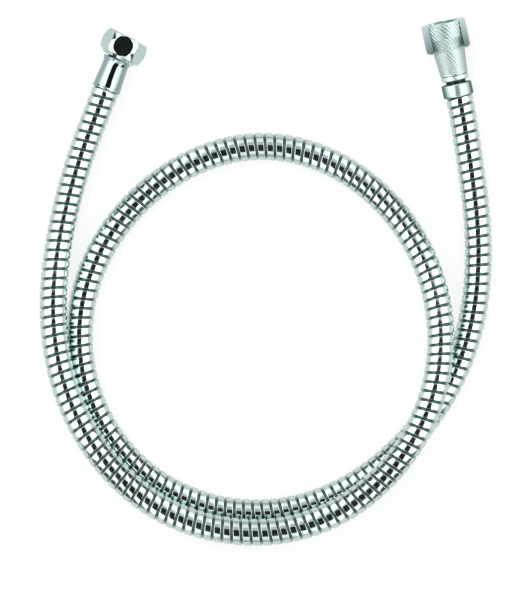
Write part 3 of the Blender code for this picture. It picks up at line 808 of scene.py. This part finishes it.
def add_mix(nodes, links, factor, first, second):
    """A mix of two colours. Each is a tint or another node's output."""
    node = nodes.new('ShaderNodeMix')
    node.data_type = 'RGBA'
    links.new(factor, node.inputs["Factor"])
    for name, value in (("A", first), ("B", second)):
        if isinstance(value, tuple):
            node.inputs[name].default_value = (*value, 1)
        else:
            links.new(value, node.inputs[name])
    return node.outputs["Result"]


def add_mask(nodes, name):
    """A point attribute of the piece."""
    node = nodes.new('ShaderNodeAttribute')
    node.attribute_name = name
    return node


def add_bump(nodes, links, height, strength, distance):
    bump = nodes.new('ShaderNodeBump')
    bump.inputs["Strength"].default_value = strength
    bump.inputs["Distance"].default_value = distance
    links.new(height, bump.inputs["Height"])
    return bump


# %% Polishing haze
def haze_group():
    """Uneven gloss: a roughness and a height that change slowly and finely over the surface."""
    group = bpy.data.node_groups.new("polish_haze", 'ShaderNodeTree')
    for name in ("Scale", "Least", "Most"):
        group.interface.new_socket(name, in_out='INPUT', socket_type='NodeSocketFloat')
    for name in ("Roughness", "Height"):
        group.interface.new_socket(name, in_out='OUTPUT', socket_type='NodeSocketFloat')
    nodes, links = group.nodes, group.links
    entry = nodes.new('NodeGroupInput')
    out = nodes.new('NodeGroupOutput')
    where = nodes.new('ShaderNodeTexCoord')
    noise = nodes.new('ShaderNodeTexNoise')
    noise.inputs["Detail"].default_value = 4.0
    links.new(where.outputs["Object"], noise.inputs["Vector"])
    links.new(entry.outputs["Scale"], noise.inputs["Scale"])
    spread = nodes.new('ShaderNodeMapRange')
    spread.inputs["From Min"].default_value = 0.35
    spread.inputs["From Max"].default_value = 0.65
    links.new(noise.outputs["Fac"], spread.inputs["Value"])
    links.new(entry.outputs["Least"], spread.inputs["To Min"])
    links.new(entry.outputs["Most"], spread.inputs["To Max"])
    links.new(spread.outputs["Result"], out.inputs["Roughness"])
    links.new(noise.outputs["Fac"], out.inputs["Height"])
    return group


haze = haze_group()


def add_haze(nodes, scale, least, most):
    node = nodes.new('ShaderNodeGroup')
    node.node_tree = haze
    node.inputs["Scale"].default_value = scale
    node.inputs["Least"].default_value = least
    node.inputs["Most"].default_value = most
    return node


# %% Chrome
CHROME_HAZE = 700.0              # scale of the noise
CHROME_BUMP = 0.3
POLISH = (0.03, 0.09, 0.01 * MM)  # least and most roughness, and how deep the haze is


def chrome_material(name, color, least, most, bump_distance):
    material, nodes, links = new_material(name)
    shader = nodes["Principled BSDF"]
    shader.inputs["Base Color"].default_value = (*color, 1)
    shader.inputs["Metallic"].default_value = 1.0
    film = add_haze(nodes, CHROME_HAZE, least, most)
    links.new(film.outputs["Roughness"], shader.inputs["Roughness"])
    bump = add_bump(nodes, links, film.outputs["Height"], CHROME_BUMP, bump_distance)
    links.new(bump.outputs["Normal"], shader.inputs["Normal"])
    return material


bright_chrome = chrome_material("bright_chrome", (0.57, 0.71, 0.70), *POLISH)
# painted shade: the sleeve is a darker copy of the bright chrome
shaded_sleeve_chrome = chrome_material("shaded_sleeve_chrome", (0.36, 0.45, 0.45), *POLISH)

# %% Satin chrome of the plain band, with painted shade on its sides
BAND_TINT = (0.52, 0.66, 0.65)
# painted shade along the band's rounded sides
BAND_SIDE_SHADE = (0.10, 0.17, 0.17)
BAND_SIDES = (0.30, 0.52, 0.0, 1.0)  # where the band's tint turns into the painted shade on its sides
band_chrome = chrome_material("band_chrome", BAND_TINT, 0.30, 0.40, 0.01 * MM)
nodes, links = band_chrome.node_tree.nodes, band_chrome.node_tree.links
slant = nodes.new('ShaderNodeLayerWeight')
painted_side_shade = add_ramp(nodes, links, slant.outputs["Facing"], *BAND_SIDES)
links.new(add_mix(nodes, links, painted_side_shade, BAND_TINT, BAND_SIDE_SHADE),
          nodes["Principled BSDF"].inputs["Base Color"])

# %% Knurled chrome
SATIN_ROUGHNESS = 0.42
knurled_chrome = chrome_material("knurled_chrome", KNURL_TINT, 0.04, 0.10, 0.02 * MM)
nodes, links = knurled_chrome.node_tree.nodes, knurled_chrome.node_tree.links
shader = nodes["Principled BSDF"]
# the marks carry each zone's tint, with painted shade on the wings, in the knurl's valleys and in the groove
zones = add_mask(nodes, "finish_and_painted_shade")
links.new(zones.outputs["Color"], shader.inputs["Base Color"])
rough = nodes.new('ShaderNodeMix')
rough.inputs["B"].default_value = SATIN_ROUGHNESS
links.new(zones.outputs["Alpha"], rough.inputs["Factor"])
links.new(shader.inputs["Roughness"].links[0].from_socket, rough.inputs["A"])
links.new(rough.outputs["Result"], shader.inputs["Roughness"])

# %% Silver hose
FOIL_TINT = (0.65, 0.78, 0.76)
# the dark tint is painted shade in the hose's grooves
FOIL_GROOVE_SHADE = (0.045, 0.085, 0.085)
FOIL_HAZE = (420.0, 0.07, 0.16)  # scale of the noise, least and most roughness
FOIL_BUMP = (0.25, 0.03 * MM)
GROOVE_SHADE_FADE = (0.30, 0.80, 1.0, 0.2)  # towards the sides of the hose the painted shade in the grooves fades
silver_foil_pvc, nodes, links = new_material("silver_foil_pvc")
shader = nodes["Principled BSDF"]
shader.inputs["Metallic"].default_value = 1.0
shader.inputs["Coat Weight"].default_value = 0.35
shader.inputs["Coat Roughness"].default_value = 0.05
slant = nodes.new('ShaderNodeLayerWeight')
clear = add_ramp(nodes, links, slant.outputs["Facing"], *GROOVE_SHADE_FADE)
# painted shade: the grooves' dark tint, faded towards the sides of the hose
depth = add_math(nodes, links, 'MULTIPLY', add_mask(nodes, "painted_groove_shade").outputs["Fac"], clear)
links.new(add_mix(nodes, links, depth, FOIL_TINT, FOIL_GROOVE_SHADE), shader.inputs["Base Color"])
film = add_haze(nodes, *FOIL_HAZE)
links.new(film.outputs["Roughness"], shader.inputs["Roughness"])
bump = add_bump(nodes, links, film.outputs["Height"], *FOIL_BUMP)
links.new(bump.outputs["Normal"], shader.inputs["Normal"])

# %% Brass and rubber
SPECKLE_HAZE = 900.0             # scale of the noise


def speckled_material(name, dark, light, metallic, least, most):
    material, nodes, links = new_material(name)
    shader = nodes["Principled BSDF"]
    shader.inputs["Metallic"].default_value = metallic
    film = add_haze(nodes, SPECKLE_HAZE, least, most)
    links.new(add_mix(nodes, links, film.outputs["Height"], dark, light), shader.inputs["Base Color"])
    links.new(film.outputs["Roughness"], shader.inputs["Roughness"])
    return material


dull_brass = speckled_material("dull_brass", (0.36, 0.28, 0.14), (0.52, 0.41, 0.21), 1.0, 0.3, 0.45)
black_rubber = speckled_material("black_rubber", (0.012, 0.012, 0.012), (0.035, 0.035, 0.035), 0.0, 0.5, 0.8)

# %% Painted shade on the necks
NECK_SHADE = (0.02, 0.03, 0.03)
nodes, links = dull_brass.node_tree.nodes, dull_brass.node_tree.links
tint = nodes["Principled BSDF"].inputs["Base Color"]
brass_tint = tint.links[0].from_socket
# painted shade: the marked neck gets a near-black tint
links.new(add_mix(nodes, links, add_mask(nodes, "neck_shade").outputs["Fac"], brass_tint, NECK_SHADE), tint)
print("finishes", sorted(material.name for material in bpy.data.materials))

# %% [markdown]
# ## Put each piece on its body
#
# A dressed piece stands for one CAD node and rides on the body that the node belongs to, so a nut
# turns with its joint.

# %% Bodies and finishes
DRESSED = [
    (ribbed_hose, "hose", "hose", "silver_pvc", silver_foil_pvc),
    (hex_sleeve, "hose", "hex_ferrule", "chrome", shaded_sleeve_chrome),
    (hex_spigot, "hose", "hex_tail", "brass", dull_brass),
    (hex_seal, "hose", "hex_washer", "rubber", black_rubber),
    (hex_union_nut, "hex_nut", "hex_nut", "chrome", bright_chrome),
    (cone_sleeve, "hose", "cone_ferrule", "chrome", band_chrome),
    (cone_spigot, "hose", "cone_tail", "brass", dull_brass),
    (cone_seal, "hose", "cone_washer", "rubber", black_rubber),
    (bell_nut, "cone_nut", "cone_nut", "satin_chrome", knurled_chrome),
]
for piece, body, node, slot, material in DRESSED:
    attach(piece, body)
    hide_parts(node)
    piece.data.materials.clear()
    piece.data.materials.append(material)

print("dressed", len(DRESSED))

# %% [markdown]
# ## Floor and light
#
# Chrome needs something to mirror. All round the hose is white, as on a photographer's light table,
# and above it is a wide dark patch, where the camera looks through the light tent. That patch draws
# the dark line along the top of every rib and the dark disc on the hex nut's flat.

# %% Floor
FLOOR_SIZE = 6.0
FLOOR_DROP = 0.05 * MM
SEEN_GLOW = 1.13                 # for the camera, so that the open floor comes out white
MIRRORED_GLOW = 0.85             # in the chrome
SHADOW_SHARE = 0.30              # how much of the floor's white comes from the light that falls on it

select_nothing()
bpy.ops.mesh.primitive_plane_add(size=FLOOR_SIZE, location=(0, 0, -FLOOR_DROP))
floor = bpy.context.object
floor.name = "light_table"
floor_material, nodes, links = new_material("light_table")
shader = nodes["Principled BSDF"]
shader.inputs["Base Color"].default_value = (0.93, 0.94, 0.94, 1)
shader.inputs["Roughness"].default_value = 0.9
shader.inputs["Specular IOR Level"].default_value = 0.0
rays = nodes.new('ShaderNodeLightPath')
by_camera = rays.outputs["Is Camera Ray"]
seen = add_math(nodes, links, 'MAXIMUM', by_camera, rays.outputs["Is Glossy Ray"])
bright = add_math(nodes, links, 'MULTIPLY_ADD', by_camera, SEEN_GLOW - MIRRORED_GLOW, MIRRORED_GLOW)
glow = nodes.new('ShaderNodeEmission')
glow.inputs["Color"].default_value = (1, 1, 1, 1)
links.new(bright, glow.inputs["Strength"])
blend = nodes.new('ShaderNodeMixShader')
links.new(add_math(nodes, links, 'MULTIPLY', seen, 1 - SHADOW_SHARE), blend.inputs[0])
links.new(shader.outputs[0], blend.inputs[1])
links.new(glow.outputs[0], blend.inputs[2])
links.new(blend.outputs[0], nodes["Material Output"].inputs["Surface"])
floor.data.materials.append(floor_material)
print("floor at", floor.location.z)

# %% Sizes of the light tent
LENS_EAST = 0.34                 # half the dark patch's size, as parts of a unit direction
LENS_NORTH = 0.44
LENS_SOUTHWARD = 0.20            # how far its middle lies south of straight up
LENS_EDGE = (0.7, 1.6, 1.0, 0.0)           # this and the next are ramps: from, to, start, end
TENT_BY_SIDE = (0.10, 0.42, 1.15, 2.6)
TENT_BY_HEIGHT = (0.0, 0.70, 0.33, 1.0)
BACK_SHADE = (0.25, 0.45, 0.5, 0.0)
BACK_SHADE_BAND = (0.20, 0.66, 0.10)       # from, to, softness
CORNER_POSTS = (0.44, 0.60, 0.0, 0.9)
DARK_GLOW = 0.015                # of the dark parts, compared with the tent's
PLAIN_GLOW = 0.85                # for diffuse light
SEEN_EXTRA = 0.15                # for the camera, on top of it

# %% World
world = bpy.data.worlds.new("light_tent")
bpy.context.scene.world = world
world.use_nodes = True
nodes, links = world.node_tree.nodes, world.node_tree.links
background = nodes["Background"]
where = nodes.new('ShaderNodeTexCoord')
parts = nodes.new('ShaderNodeSeparateXYZ')
links.new(where.outputs["Generated"], parts.inputs["Vector"])


def math_node(operation, *values):
    return add_math(nodes, links, operation, *values)


def ramp(value, low, high, start, end):
    return add_ramp(nodes, links, value, low, high, start, end, 'SMOOTHSTEP')


def both(a, b):
    return math_node('MULTIPLY', a, b)


def between(value, low, high, soft):
    """1 where a value lies between low and high, with soft edges."""
    return both(ramp(value, low - soft, low + soft, 0.0, 1.0),
                ramp(value, high - soft, high + soft, 1.0, 0.0))


east, north, up = parts.outputs["X"], parts.outputs["Y"], parts.outputs["Z"]
side = math_node('ABSOLUTE', east)
ahead_or_behind = math_node('ABSOLUTE', north)
lens_x = both(east, 1 / LENS_EAST)
lens_y = both(math_node('ADD', north, LENS_SOUTHWARD), 1 / LENS_NORTH)
lens_xx = both(lens_x, lens_x)
lens_yy = both(lens_y, lens_y)
from_lens = math_node('ADD', both(lens_xx, lens_xx), both(lens_yy, lens_yy))
tent = both(ramp(side, *TENT_BY_SIDE), ramp(up, *TENT_BY_HEIGHT))
dark = ramp(from_lens, *LENS_EDGE)
dark = math_node('MAXIMUM', dark, both(ramp(side, *BACK_SHADE), between(north, *BACK_SHADE_BAND)))
dark = math_node('MAXIMUM', dark, ramp(math_node('MINIMUM', side, ahead_or_behind), *CORNER_POSTS))
mirrored = both(tent, ramp(dark, 0.0, 1.0, 1.0, DARK_GLOW))

rays = nodes.new('ShaderNodeLightPath')
plain = math_node('ADD', both(rays.outputs["Is Camera Ray"], SEEN_EXTRA), PLAIN_GLOW)
strength = nodes.new('ShaderNodeMix')
links.new(rays.outputs["Is Glossy Ray"], strength.inputs["Factor"])
links.new(plain, strength.inputs["A"])
links.new(mirrored, strength.inputs["B"])
links.new(strength.outputs["Result"], background.inputs["Strength"])
background.inputs["Color"].default_value = (1, 1, 1, 1)
print("world nodes", len(nodes))

# %% Soft key light
KEY_SIZE = 1.2
KEY_ENERGY = 5.0
KEY_PLACE = (-0.9, 0.7, 1.6)
lamp_data = bpy.data.lights.new("soft_key", 'AREA')
lamp_data.size = KEY_SIZE
lamp_data.energy = KEY_ENERGY
lamp = bpy.data.objects.new("soft_key", lamp_data)
bpy.context.scene.collection.objects.link(lamp)
lamp.location = KEY_PLACE
lamp.rotation_euler = (Vector((0, 0, 0)) - lamp.location).to_track_quat('-Z', 'Y').to_euler()
lamp.visible_glossy = False
print("key light at", tuple(round(value, 2) for value in lamp.location))

# %% View settings
bpy.context.scene.view_settings.view_transform = 'Standard'
